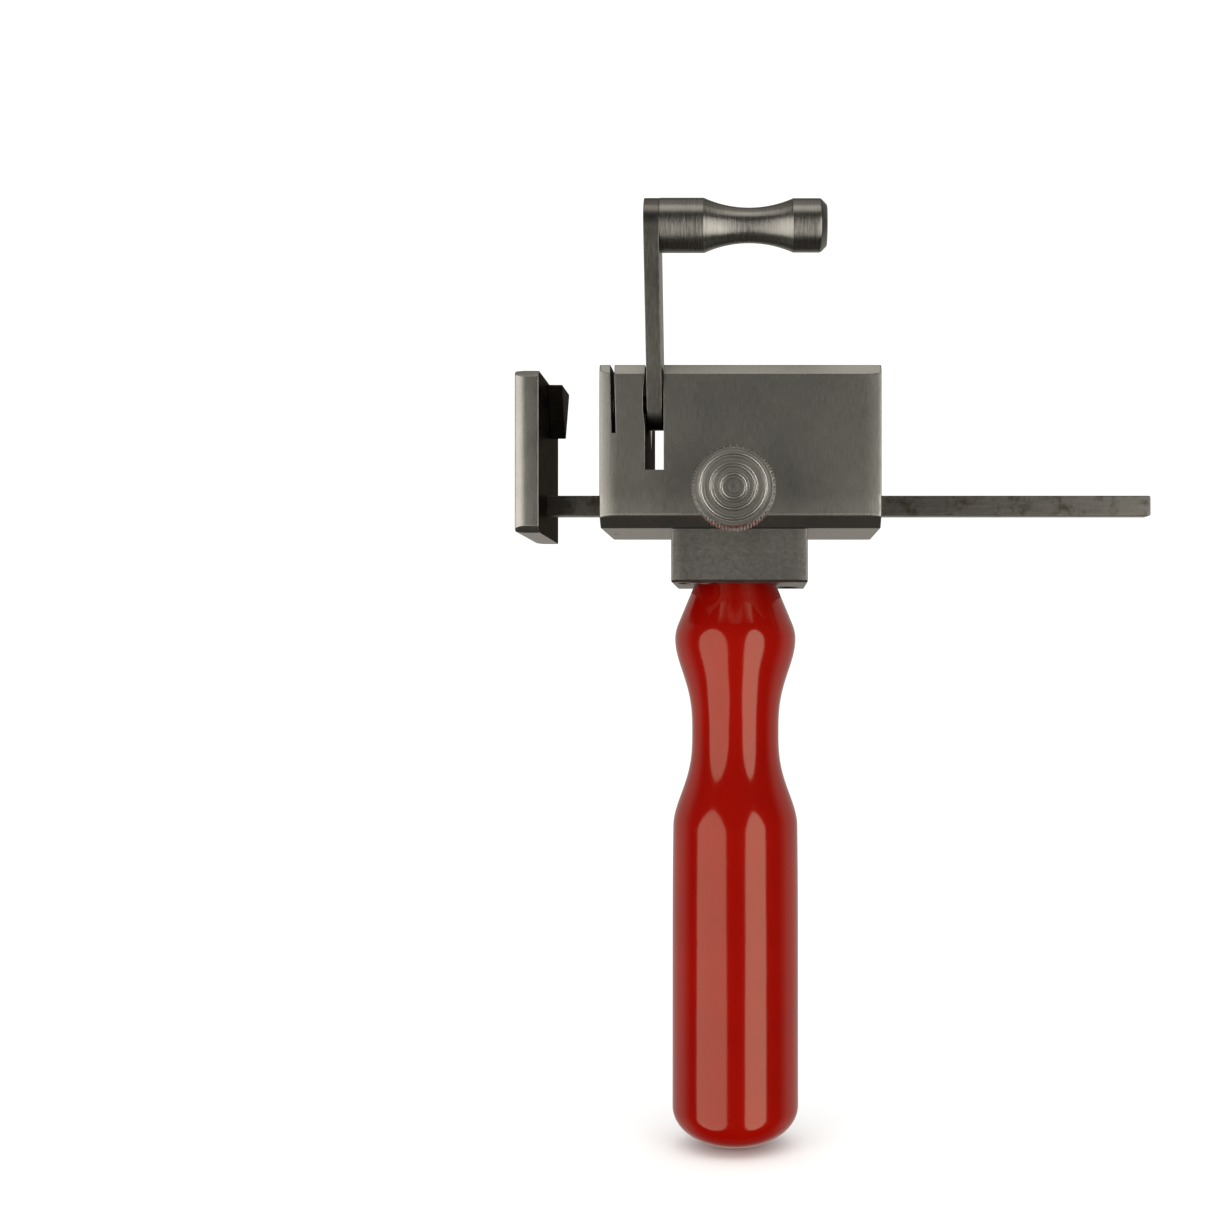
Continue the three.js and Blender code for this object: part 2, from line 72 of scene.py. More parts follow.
def corner_frame(node):
    """The frame at a node's lower left back corner, and its size in millimetres as (x, y, z)."""
    low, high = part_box(node)
    size = high - low
    place = Matrix.Translation((low.x, high.y, low.z)) @ STAND_UP
    return place, (size.x / MM, size.z / MM, size.y / MM)


def axis_frame(node, axis):
    """A frame whose z runs along the node's axis from its left, back or lower end, and the node's
    length in mm."""
    low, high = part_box(node)
    middle = (low + high) / 2
    if axis == "right":
        return Matrix.Translation((low.x, middle.y, middle.z)) @ Matrix.Rotation(math.pi / 2, 4, "Y"), (
            high.x - low.x) / MM
    if axis == "front":
        return Matrix.Translation((middle.x, high.y, middle.z)) @ STAND_UP, (high.y - low.y) / MM
    return Matrix.Translation((middle.x, middle.y, low.z)), (high.z - low.z) / MM


JOINTS = {joint["name"]: joint for joint in frame["joints"]}


# ---- Outlines ----------------------------------------------------------------------------

def inset(points, distances):
    """Moves each side of a closed outline inwards by its own distance."""
    count = len(points)
    area = sum(points[i][0] * points[(i + 1) % count][1] - points[(i + 1) % count][0] * points[i][1]
               for i in range(count))
    turn = 1 if area > 0 else -1
    lines = []
    for i, start in enumerate(points):
        start, end = Vector(start), Vector(points[(i + 1) % count])
        along = (end - start).normalized()
        inward = Vector((-along.y, along.x)) * turn
        lines.append((start + inward * distances[i], along))
    moved = []
    for i in range(count):
        (p, d), (q, e) = lines[i - 1], lines[i]
        cross = d.x * e.y - d.y * e.x
        if abs(cross) < 1e-6:
            moved.append((q.x, q.y))
            continue
        t = ((q.x - p.x) * e.y - (q.y - p.y) * e.x) / cross
        moved.append((p.x + d.x * t, p.y + d.y * t))
    return moved


def fillet(points, radii, steps, closed=True):
    """Rounds each corner of an outline or profile with an arc of its own radius."""
    count = len(points)
    made = []
    for i, corner in enumerate(points):
        radius = radii[i]
        if radius == 0 or (not closed and i in (0, count - 1)):
            made.append(tuple(corner))
            continue
        corner = Vector(corner)
        before = (Vector(points[i - 1]) - corner).normalized()
        after = (Vector(points[(i + 1) % count]) - corner).normalized()
        half = before.angle(after) / 2
        reach = radius / math.tan(half)
        middle = corner + (before + after).normalized() * (radius / math.sin(half))
        first = corner + before * reach - middle
        last = corner + after * reach - middle
        sweep = first.angle_signed(last)
        for s in range(steps + 1):
            angle = -sweep * s / steps
            arm = Vector((first.x * math.cos(angle) - first.y * math.sin(angle),
                          first.x * math.sin(angle) + first.y * math.cos(angle)))
            made.append(tuple(middle + arm))
    return made


# ---- Meshes ------------------------------------------------------------------------------

def new_object(name, verts, faces, place):
    mesh = bpy.data.meshes.new(name)
    mesh.from_pydata([tuple(c * MM for c in v) for v in verts], [], faces)
    mesh.validate()
    bm = bmesh.new()
    bm.from_mesh(mesh)
    bmesh.ops.remove_doubles(bm, verts=bm.verts, dist=1e-7)
    bmesh.ops.recalc_face_normals(bm, faces=bm.faces)
    bm.to_mesh(mesh)
    bm.free()
    piece = bpy.data.objects.new(name, mesh)
    bpy.context.scene.collection.objects.link(piece)
    piece.matrix_world = place
    return piece


def bar(name, place, outline, radii, left, right, edge=0.15, rolls=(), roll_length=2.4, steps=3):
    """A bar along x with filleted long corners, rounded ends and sides that roll off near the
    ends. outline holds (z, y) points, and rolls gives (side, depth at left, depth at right)."""
    stations = []
    for s in range(4):
        angle = s / 3 * math.pi / 2
        stations.append((edge * (1 - math.cos(angle)), edge * (1 - math.sin(angle))))
    if rolls:
        stations += [(edge + (roll_length - edge) * s / 7, 0) for s in range(1, 8)]

    def section(x, distance, inset_by, side_of_bar):
        distances = [inset_by] * len(outline)
        for side, at_left, at_right in rolls:
            depth = at_left if side_of_bar == 0 else at_right
            distances[side] += depth * max(0, 1 - distance / roll_length) ** 2
        ring = fillet(inset(outline, distances), radii, steps)
        return [(x, y, z) for z, y in ring]

    rings = [section(left + t, t, e, 0) for t, e in stations]
    rings += [section(right - t, t, e, 1) for t, e in reversed(stations)]
    count = len(rings[0])
    verts = [v for ring in rings for v in ring]
    faces = []
    for r in range(len(rings) - 1):
        for i in range(count):
            j = (i + 1) % count
            faces.append((r * count + i, r * count + j, (r + 1) * count + j, (r + 1) * count + i))
    faces.append(tuple(range(count)))
    faces.append(tuple((len(rings) - 1) * count + i for i in range(count)))
    return new_object(name, verts, faces, place)


def turned(name, place, profile, sides=96, surface=None):
    """A profile of (radius, z) points turned about z. surface(radius, z, angle) may move the skin."""
    verts, faces, rings = [], [], []
    for radius, z in profile:
        if radius < 1e-6:
            verts.append((0, 0, z))
            rings.append([len(verts) - 1])
            continue
        ring = []
        for i in range(sides):
            angle = 2 * math.pi * i / sides
            r, h = surface(radius, z, angle) if surface else (radius, z)
            verts.append((r * math.cos(angle), r * math.sin(angle), h))
            ring.append(len(verts) - 1)
        rings.append(ring)
    for low, high in zip(rings, rings[1:]):
        for i in range(sides):
            j = (i + 1) % sides
            corners = [low[i % len(low)], low[j % len(low)], high[j % len(high)], high[i % len(high)]]
            corners = [c for k, c in enumerate(corners) if c != corners[k - 1]]
            if len(corners) > 2:
                faces.append(tuple(corners))
    return new_object(name, verts, faces, place)


def box_cutter(place, low, high, lean=0):
    """A cutter between two corners, its top pushed left by lean."""
    (x0, y0, z0), (x1, y1, z1) = low, high
    verts = [(x - (lean if y == y1 else 0), y, z) for x in (x0, x1) for y in (y0, y1) for z in (z0, z1)]
    faces = [(0, 1, 3, 2), (4, 6, 7, 5), (0, 4, 5, 1), (2, 3, 7, 6), (0, 2, 6, 4), (1, 5, 7, 3)]
    return new_object("cutter", verts, faces, place)


def settle(piece):
    """Turns what the modifiers make into the piece's own mesh."""
    bpy.context.view_layer.update()
    seen = piece.evaluated_get(bpy.context.evaluated_depsgraph_get())
    made = bpy.data.meshes.new_from_object(seen)
    old = piece.data
    piece.modifiers.clear()
    piece.data = made
    bpy.data.meshes.remove(old)
    made.name = piece.name


def cut(piece, cutters):
    for cutter in cutters:
        step = piece.modifiers.new("cut", "BOOLEAN")
        step.operation = "DIFFERENCE"
        step.solver = "EXACT"
        step.object = cutter
    settle(piece)
    for cutter in cutters:
        old = cutter.data
        bpy.data.objects.remove(cutter)
        bpy.data.meshes.remove(old)


def break_edges(piece, wanted, width, segments=2):
    """Bevels the sharp edges whose middle, in millimetres, passes the test."""
    bm = bmesh.new()
    bm.from_mesh(piece.data)
    weight = bm.edges.layers.float.get("bevel_weight_edge") or bm.edges.layers.float.new("bevel_weight_edge")
    for edge in bm.edges:
        middle = (edge.verts[0].co + edge.verts[1].co) / 2 / MM
        sharp = len(edge.link_faces) == 2 and edge.calc_face_angle(0) > math.radians(35)
        edge[weight] = 1 if sharp and wanted(middle) else 0
    bm.to_mesh(piece.data)
    bm.free()
    step = piece.modifiers.new("edges", "BEVEL")
    step.limit_method = "WEIGHT"
    step.width = width * MM
    step.segments = segments
    step.use_clamp_overlap = False
    settle(piece)


def done(piece, node, body, material, sharp=32, weighted=False):
    """Shades the piece, gives it its material and its body, and lets it stand for its CAD node."""
    piece.data.shade_smooth()
    piece.data.set_sharp_from_angle(angle=math.radians(sharp))
    if weighted:
        step = piece.modifiers.new("normals", "WEIGHTED_NORMAL")
        step.keep_sharp = True
        step.weight = 90
        settle(piece)
    piece.data.materials.clear()
    piece.data.materials.append(material)
    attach(piece, body)
    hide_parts(node)
    return piece


# ---- Materials ---------------------------------------------------------------------------

class Shader:
    """A small helper that adds nodes to one material."""

    def __init__(self, name):
        self.material = bpy.data.materials.new(name)
        self.material.use_nodes = True
        self.tree = self.material.node_tree
        self.skin = self.tree.nodes["Principled BSDF"]
        self.where = self.tree.nodes.new("ShaderNodeTexCoord").outputs["Object"]

    def link(self, source, target):
        self.tree.links.new(source, target)

    def set(self, **values):
        for key, value in values.items():
            self.skin.inputs[key.replace("_", " ")].default_value = value

    def stretched(self, scale, source=None):
        node = self.tree.nodes.new("ShaderNodeMapping")
        node.inputs["Scale"].default_value = scale
        self.link(source or self.where, node.inputs["Vector"])
        return node.outputs["Vector"]

    def noise(self, vector, scale=1.0, detail=3.0, rough=0.55, distortion=0.0):
        node = self.tree.nodes.new("ShaderNodeTexNoise")
        node.inputs["Scale"].default_value = scale
        node.inputs["Detail"].default_value = detail
        node.inputs["Roughness"].default_value = rough
        node.inputs["Distortion"].default_value = distortion
        self.link(vector, node.inputs["Vector"])
        return node.outputs["Fac"]

    def ramp(self, value, low, high, out_low=0.0, out_high=1.0):
        node = self.tree.nodes.new("ShaderNodeMapRange")
        for key, number in (("From Min", low), ("From Max", high), ("To Min", out_low), ("To Max", out_high)):
            node.inputs[key].default_value = number
        self.link(value, node.inputs["Value"])
        return node.outputs["Result"]

    def math(self, kind, a, b):
        node = self.tree.nodes.new("ShaderNodeMath")
        node.operation = kind
        for socket, value in zip(node.inputs, (a, b)):
            if isinstance(value, (int, float)):
                socket.default_value = value
            else:
                self.link(value, socket)
        return node.outputs[0]

    def mix(self, factor, a, b):
        node = self.tree.nodes.new("ShaderNodeMix")
        node.data_type = "RGBA"
        for socket, value in ((node.inputs[0], factor), (node.inputs[6], a), (node.inputs[7], b)):
            if isinstance(value, tuple):
                socket.default_value = (*value, 1)
            elif isinstance(value, (int, float)):
                socket.default_value = value
            else:
                self.link(value, socket)
        return node.outputs[2]

    def radius(self):
        """Distance from the local z axis, in metres."""
        flat = self.stretched((1, 1, 0))
        node = self.tree.nodes.new("ShaderNodeVectorMath")
        node.operation = "LENGTH"
        self.link(flat, node.inputs[0])
        return node.outputs["Value"]

    def along(self, value):
        node = self.tree.nodes.new("ShaderNodeCombineXYZ")
        self.link(value, node.inputs[0])
        return node.outputs[0]

    def bump(self, height, strength, distance):
        node = self.tree.nodes.new("ShaderNodeBump")
        node.inputs["Strength"].default_value = strength
        node.inputs["Distance"].default_value = distance
        last = self.skin.inputs["Normal"].links
        if last:
            self.link(last[0].from_socket, node.inputs["Normal"])
        self.link(height, node.inputs["Height"])
        self.link(node.outputs["Normal"], self.skin.inputs["Normal"])


FINE_DEPTH = 0.00002
SPECK_SCALE = 2600


def steel(name, light, dark, rough, grain, grain_depth=0.35, cloud=90.0, stain=None, spread=0.05,
          shaded=False):
    """Polished or brushed steel. grain is the texture's scale per metre along x, y and z: small
    along the strokes and large across them. spread is how far the roughness wanders. shaded gives
    the reflection a dark edge tint, painted shade that keeps the surface dark at a grazing angle too."""
    s = Shader(name)
    strokes = s.noise(s.stretched(grain), detail=4, rough=0.65)
    clouds = s.noise(s.where, scale=cloud, detail=3)
    specks = s.noise(s.where, scale=SPECK_SCALE, detail=3, rough=0.7)
    tone = s.math("ADD", s.math("MULTIPLY", s.ramp(clouds, 0.3, 0.7), 0.35),
                  s.math("MULTIPLY", s.ramp(strokes, 0.3, 0.7), 0.35))
    tone = s.math("ADD", tone, s.math("MULTIPLY", s.ramp(specks, 0.3, 0.7), 0.3))
    colour = s.mix(tone, dark, light)
    if stain:
        patches = s.ramp(s.noise(s.where, scale=260, detail=5, rough=0.7), 0.5, 0.66)
        colour = s.mix(patches, colour, stain)
    s.link(colour, s.skin.inputs["Base Color"])
    wander = s.math("ADD", strokes, s.math("MULTIPLY", clouds, 0.4))
    s.link(s.ramp(wander, 0.4, 1.0, rough - spread, rough + spread), s.skin.inputs["Roughness"])
    s.set(Metallic=1.0)
    # painted shade: a dark specular tint darkens the reflection at a grazing angle
    if shaded:
        s.set(Specular_Tint=(0.22, 0.20, 0.18, 1))
    s.bump(strokes, grain_depth, FINE_DEPTH)
    s.bump(specks, 0.3, FINE_DEPTH)
    return s.material


def turned_steel(name, light, dark, rough, rings=5200.0, depth=0.4, face_rings=False):
    """Steel turned about the local z axis: fine rings along z, and across flat faces if asked."""
    s = Shader(name)
    along_axis = s.noise(s.stretched((30, 30, rings)), detail=4, rough=0.8)
    if face_rings:
        face = s.noise(s.along(s.math("MULTIPLY", s.radius(), 1900.0)), detail=4, rough=0.75)
        along_axis = s.math("MULTIPLY", s.math("ADD", along_axis, face), 0.5)
    clouds = s.noise(s.where, scale=150, detail=3)
    tone = s.math("ADD", s.math("MULTIPLY", s.ramp(along_axis, 0.3, 0.7), 0.6),
                  s.math("MULTIPLY", s.ramp(clouds, 0.3, 0.7), 0.4))
    s.link(s.mix(tone, dark, light), s.skin.inputs["Base Color"])
    s.link(s.ramp(along_axis, 0.3, 0.7, rough - 0.05, rough + 0.08), s.skin.inputs["Roughness"])
    s.set(Metallic=1.0)
    s.bump(along_axis, depth, FINE_DEPTH)
    return s.material


def lacquer(name):
    """Thick red gloss paint on turned wood, with a faint flow in its surface."""
    s = Shader(name)
    flow = s.noise(s.stretched((1, 1, 0.35)), scale=160, detail=2)
    dust = s.noise(s.where, scale=2400, detail=2)
    depth = s.noise(s.where, scale=60, detail=2)
    s.link(s.mix(s.ramp(depth, 0.35, 0.65), (0.138, 0.0008, 0.0), (0.158, 0.0012, 0.0)),
           s.skin.inputs["Base Color"])
    s.link(s.ramp(dust, 0.4, 0.75, 0.105, 0.15), s.skin.inputs["Roughness"])
    s.set(IOR=1.5, Specular_Tint=(1.0, 0.86, 0.66, 1))
    s.bump(flow, 0.22, 0.00012)
    return s.material


BLOCK_STEEL = steel("satin_block_steel", (0.335, 0.33, 0.31), (0.245, 0.24, 0.225), 0.355,
                    (4200, 420, 4200), 0.55, 70, spread=0.035)
PLATE_STEEL = steel("satin_plate_steel", (0.385, 0.379, 0.358), (0.255, 0.25, 0.236), 0.345,
                    (3600, 380, 3600), 0.55, 210, spread=0.04)
# painted shade: the plate's inner face is made dark steel to stand for the shadow in the gap beside the block
INNER_SHADE_STEEL = steel("plate_inner_painted_shade_steel", (0.095, 0.084, 0.073), (0.055, 0.047, 0.040), 0.40,
                    (2600, 260, 2600), 0.4, 180, stain=(0.022, 0.018, 0.014), shaded=True)
# painted shade: the slots' walls and floors are made near black steel to stand for the shade deep in the
# slots
SLOT_SHADE_STEEL = steel("slot_painted_shade_steel", (0.045, 0.040, 0.034), (0.022, 0.019, 0.016), 0.45,
                   (260, 260, 2600), 0.4, 200, shaded=True)
HOLDER_STEEL = steel("brushed_holder_steel", (0.265, 0.260, 0.248), (0.155, 0.151, 0.142), 0.38,
                     (1300, 1700, 3000), 0.8, spread=0.04)
LEVER_STEEL = steel("brushed_lever_steel", (0.205, 0.198, 0.185), (0.105, 0.100, 0.092), 0.32,
                    (2600, 420, 2600), 0.6, spread=0.04)
# painted shade: the nose is made dark steel to stand for the shade and dark reflection around it
NOSE_SHADE_STEEL = steel("nose_painted_shade_steel", (0.075, 0.065, 0.053), (0.042, 0.036, 0.029), 0.34,
                   (240, 2600, 2600), 0.4, 240, shaded=True)
ROD_STEEL = steel("stained_rod_steel", (0.21, 0.203, 0.188), (0.135, 0.13, 0.12), 0.33,
                  (160, 2600, 2600), 0.3, 260, stain=(0.075, 0.065, 0.052))
SCREW_STEEL = turned_steel("black_screw_steel", (0.075, 0.072, 0.07), (0.04, 0.038, 0.036), 0.42)
THREAD_STEEL = turned_steel("thread_steel", (0.34, 0.325, 0.30), (0.22, 0.21, 0.195), 0.34)
SPOOL_STEEL = turned_steel("turned_spool_steel", (0.31, 0.303, 0.288), (0.16, 0.155, 0.146), 0.28, 5200, 1.8)
KNOB_STEEL = turned_steel("turned_knob_steel", (0.64, 0.626, 0.593), (0.42, 0.41, 0.388), 0.27,
                          5200, 0.8, face_rings=True)
PIN_STEEL = turned_steel("bright_pin_steel", (0.30, 0.29, 0.27), (0.21, 0.205, 0.19), 0.28)
BRASS = turned_steel("brass", (0.62, 0.43, 0.17), (0.50, 0.34, 0.13), 0.30)
RED = lacquer("red_lacquer")


# ---- V-block -----------------------------------------------------------------------------

block_place, (BLOCK_LENGTH, BLOCK_HEIGHT, BLOCK_DEPTH) = corner_frame("v_block")
GROOVE_Z, GROOVE_HALF, GROOVE_ROOT = 11.1, 7.06, 15.95
ROD_Y, ROD_Z, ROD_SIDE = 4.95, 15.1, 3.9
pivot_row = Vector(JOINTS["lever_pivot"]["pos_m"])
pivot = (block_place.inverted() @ pivot_row) / MM
thumb_row = Vector(JOINTS["screw_turn"]["pos_m"])
thumb = (block_place.inverted() @ thumb_row) / MM

# Above the foot's bevel the front side starts in a slow curve and then goes up flat.
block_outline = [
    (0, 0), (BLOCK_DEPTH - 2.5, 0), (BLOCK_DEPTH - 0.14, 2.2), (BLOCK_DEPTH, 5.0),
    (BLOCK_DEPTH, BLOCK_HEIGHT - 1.8), (BLOCK_DEPTH - 0.9, BLOCK_HEIGHT),
    (GROOVE_Z + GROOVE_HALF, BLOCK_HEIGHT), (GROOVE_Z, GROOVE_ROOT),
    (GROOVE_Z - GROOVE_HALF, BLOCK_HEIGHT), (0, BLOCK_HEIGHT)]
block = bar("block", block_place, block_outline, [0.3, 0.6, 0.8, 40, 0.3, 0.2, 0.2, 0.15, 0.2, 0.3],
            0, BLOCK_LENGTH, 0.2, rolls=((2, 0.33, 0.15), (3, 0.33, 0.15), (9, 0.2, 0.2)),
            roll_length=3.2, steps=5)
LEVER_SLOT, LEVER_SLOT_FLOOR = (8.1, 11.4), 10.2
SAW_SLOT, SAW_SLOT_FLOOR, SAW_SLOT_LEAN = (2.2, 2.93), 16.7, 0.3
ROD_HOLE_SLACK = 0.05
PIN_HOLE_RADIUS, PIN_HOLE_DEPTH = 1.56, 16.3
THUMB_HOLE_RADIUS = 2.62
DRILL_X, DRILL_Z, DRILL_RADIUS, DRILL_DEPTH, DRILL_TIP = 1.8, 13.7, 0.5, 2.2, 0.4
past = 1
above, in_front = BLOCK_HEIGHT + past, BLOCK_DEPTH + past
rod_half = ROD_SIDE / 2
rod_half_loose = rod_half + ROD_HOLE_SLACK
quarter_y = Matrix.Rotation(math.pi / 2, 4, "Y")
axis_x = block_place @ Matrix.Translation(Vector((0, pivot.y, pivot.z)) * MM) @ quarter_y
axis_z = block_place @ Matrix.Translation(Vector((thumb.x, thumb.y, 0)) * MM)
drill_foot = Matrix.Translation(Vector((DRILL_X, 0, DRILL_Z)) * MM)
drill_place = block_place @ drill_foot @ Matrix.Rotation(-math.pi / 2, 4, "X")
cut(block, [
    box_cutter(block_place, (SAW_SLOT[0], SAW_SLOT_FLOOR, -past), (SAW_SLOT[1], above, in_front),
               SAW_SLOT_LEAN),
    box_cutter(block_place, (LEVER_SLOT[0], LEVER_SLOT_FLOOR, -past), (LEVER_SLOT[1], above, in_front)),
    box_cutter(block_place, (-past, ROD_Y - rod_half, ROD_Z - rod_half_loose),
               (BLOCK_LENGTH + past, ROD_Y + rod_half, ROD_Z + rod_half_loose)),
    turned("cutter", axis_x, [(0, -past), (PIN_HOLE_RADIUS, -past), (PIN_HOLE_RADIUS, PIN_HOLE_DEPTH),
                              (0, PIN_HOLE_DEPTH)], 40),
    # a shallow hollow around the pin in the slot's left wall
    turned("cutter", axis_x, [(0, 7.75), (5.0, 7.75), (7.0, 8.2), (0, 8.2)], 72),
    turned("cutter", drill_place, [(0, -past), (DRILL_RADIUS, -past), (DRILL_RADIUS, DRILL_DEPTH),
                                   (0, DRILL_DEPTH + DRILL_TIP)], 24),
    turned("cutter", axis_z, [(0, ROD_Z), (THUMB_HOLE_RADIUS, ROD_Z), (THUMB_HOLE_RADIUS, in_front),
                              (0, in_front)], 48),
])


def at_slot(middle):
    """Whether an edge lies at a slot's mouth, on the front, the back or the top."""
    near_lever = LEVER_SLOT[0] - 0.9 < middle.x < LEVER_SLOT[1] + 0.05
    near_saw = SAW_SLOT[0] - 0.35 < middle.x < SAW_SLOT[1] + 0.05
    outside = middle.z > BLOCK_DEPTH - 1.2 or middle.z < 0.4 or middle.y > BLOCK_HEIGHT - 0.6
    return (near_lever or near_saw) and outside


break_edges(block, at_slot, 0.1)
done(block, "v_block", "block", BLOCK_STEEL, weighted=True)
# The slot walls and floors get the near black steel: painted shade inside the slots.
block.data.materials.append(SLOT_SHADE_STEEL)
for face in block.data.polygons:
    spot = face.center / MM
    in_lever_slot = LEVER_SLOT[0] - 0.5 < spot.x < LEVER_SLOT[1] + 0.05
    in_saw_slot = SAW_SLOT[0] - 0.32 < spot.x < SAW_SLOT[1] + 0.02
    wall = abs(face.normal.x) > 0.8 or (face.normal.y > 0.9 and spot.y < BLOCK_HEIGHT - 1)
    if (in_lever_slot or in_saw_slot) and wall:
        face.material_index = 1

pin_place, pin_length = axis_frame("lever_pin", "right")
pin = turned("pivot_pin", pin_place, fillet(
    [(0, 0), (1.5, 0), (1.5, pin_length), (0, pin_length)], [0, 0.3, 0.3, 0], 3, False), 48)
done(pin, "lever_pin", "block", PIN_STEEL)


# ---- Handle block and its screws ---------------------------------------------------------

holder_place, (HOLDER_X, HOLDER_Y, HOLDER_Z) = corner_frame("handle_block")
holder = bar("handle_holder", holder_place,
             [(0, 0), (HOLDER_Z - 0.5, 0), (HOLDER_Z, 0.5), (HOLDER_Z, HOLDER_Y), (0, HOLDER_Y)],
             [0.25, 0.15, 0.15, 0.1, 0.1], 0, HOLDER_X, 0.2, rolls=((2, 0.12, 0.12), (4, 0.1, 0.1)))
screws = {"front": "block_screw_front", "rear": "block_screw_rear"}
HEAD_HOLE_RADIUS, HEAD_HOLE_DEPTH, HEAD_HOLE_BELOW = 3.62, 5.4, 1.3
cutters = []
for node in screws.values():
    place = Matrix.Translation((0, 0, -HEAD_HOLE_BELOW * MM)) @ axis_frame(node, "up")[0]
    cutters.append(turned("cutter", place, [
        (0, 0), (HEAD_HOLE_RADIUS, 0), (HEAD_HOLE_RADIUS, HEAD_HOLE_DEPTH), (0, HEAD_HOLE_DEPTH)], 48))
cut(holder, cutters)
break_edges(holder, lambda m: m.y < 0.02 and 1 < m.x < HOLDER_X - 1 and 1 < m.z < HOLDER_Z - 1, 0.12)
done(holder, "handle_block", "block", HOLDER_STEEL, weighted=True)

for where, node in screws.items():
    place, length = axis_frame(node, "up")
    screw = turned("holder_screw_" + where, place, fillet(
        [(0, 0), (3.5, 0), (3.5, 3.8), (2, 3.8), (2, length), (0, length)],
        [0, 0.4, 0.1, 0.1, 0.3, 0], 3, False), 64)
    socket = turned("cutter", Matrix.Translation((0, 0, -MM)) @ place,
                    [(0, 0), (1.7, 0), (1.7, 2.8), (0, 3.5)], 6)
    cut(screw, [socket])
    break_edges(screw, lambda m: m.z < 0.02 and m.x ** 2 + m.y ** 2 < 4, 0.12)
    done(screw, node, "block", SCREW_STEEL)

for node, material in (("handle_stud", THREAD_STEEL), ("handle_bush", BRASS), ("nose_dowel_lower", PIN_STEEL),
                       ("nose_dowel_upper", PIN_STEEL), ("clamp_pad", BRASS)):
    for slot in frame["nodes"][node].material_slots:
        slot.material = material


# ---- Handle ------------------------------------------------------------------------------

handle_place, HANDLE_LENGTH = axis_frame("handle", "up")
GRIP_RADIUS, SHOULDER_RADIUS, WAIST_RADIUS, BULGE_RADIUS, TOP_RADIUS = 11.66, 11.52, 8.01, 11.17, 7.62
SHOULDER_DOWN, WAIST_DOWN, BULGE_DOWN, CONE_DOWN = 44.65, 27.2, 9.94, 7.1
SOCKET_RADIUS, SOCKET_DEPTH = 4.9, 22


def swell(waist, crest, steps):
    """From a waist out to a crest: a wave whose steep part lies close to the crest."""
    made = []
    for s in range(steps + 1):
        t = s / steps
        blend = (1 - math.cos(math.pi * t ** 1.4)) / 2
        made.append((waist[0] + (crest[0] - waist[0]) * blend, waist[1] + (crest[1] - waist[1]) * t))
    return made


shoulder = (SHOULDER_RADIUS, HANDLE_LENGTH - SHOULDER_DOWN)
waist = (WAIST_RADIUS, HANDLE_LENGTH - WAIST_DOWN)
bulge = (BULGE_RADIUS, HANDLE_LENGTH - BULGE_DOWN)
profile = [(0, 0)]
END_ROUND = 7.2
for s in range(1, 25):
    angle = s / 24 * math.pi / 2
    profile.append((GRIP_RADIUS * math.sin(angle) ** 0.92, END_ROUND * (1 - math.cos(angle))))
for s in range(1, 13):
    t = s / 12
    profile.append((GRIP_RADIUS + (SHOULDER_RADIUS - GRIP_RADIUS) * t ** 6,
                    END_ROUND + (shoulder[1] - END_ROUND) * t))
profile += swell(waist, shoulder, 36)[-2::-1]
profile += swell(waist, bulge, 36)[1:]
cone_slope = 2 * (BULGE_RADIUS - TOP_RADIUS) / (BULGE_DOWN + CONE_DOWN)
for s in range(1, 9):
    t = s / 8
    profile.append((BULGE_RADIUS - cone_slope * (BULGE_DOWN - CONE_DOWN) * t * t / 2,
                    bulge[1] + (BULGE_DOWN - CONE_DOWN) * t))
for s in range(1, 7):
    t = s / 6
    profile.append((TOP_RADIUS + cone_slope * CONE_DOWN * (1 - t), HANDLE_LENGTH - CONE_DOWN * (1 - t)))
socket_floor = HANDLE_LENGTH - SOCKET_DEPTH
profile += [(SOCKET_RADIUS, HANDLE_LENGTH), (SOCKET_RADIUS, socket_floor), (0, socket_floor)]
grip = turned("lacquered_handle", handle_place, profile, 128)
done(grip, "handle", "block", RED)


# ---- Lever -------------------------------------------------------------------------------

spool_low, spool_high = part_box("lever_spool")
arm = (spool_low + spool_high) / 2 - pivot_row
lean = math.atan2(-arm.y, arm.z)
ARM_LENGTH = math.hypot(arm.y, arm.z) / MM
bar_low, bar_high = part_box("lever_bar")
BAR_THICKNESS = (bar_high.x - bar_low.x) / MM
lever_foot = Matrix.Translation((bar_low.x, pivot_row.y, pivot_row.z))
lever_place = lever_foot @ Matrix.Rotation(lean, 4, "X") @ STAND_UP

LEVER_RADIUS = 4.6
lever_outline = []
for s in range(29):
    angle = math.pi + s / 28 * math.pi
    lever_outline.append((LEVER_RADIUS * math.cos(angle), LEVER_RADIUS * math.sin(angle)))
for s in range(29):
    angle = s / 28 * math.pi
    lever_outline.append((LEVER_RADIUS * math.cos(angle), ARM_LENGTH + LEVER_RADIUS * math.sin(angle)))
LEVER_SPARE = 0.1
lever = bar("lever", lever_place, lever_outline, [0] * len(lever_outline),
            -LEVER_SPARE, BAR_THICKNESS + LEVER_SPARE, 0.12)
arm_place = lever_place @ Matrix.Translation((0, ARM_LENGTH * MM, 0)) @ quarter_y
through = 3.5
cut(lever, [
    turned("cutter", lever_place @ quarter_y, [(0, -past), (1.6, -past), (1.6, through), (0, through)], 40),
    turned("cutter", arm_place, [(0, -past), (3.35, -past), (3.35, 0.2), (1.95, 1.6), (1.95, through),
                                 (0, through)], 48),
])
done(lever, "lever_bar", "lever", LEVER_STEEL, weighted=True)

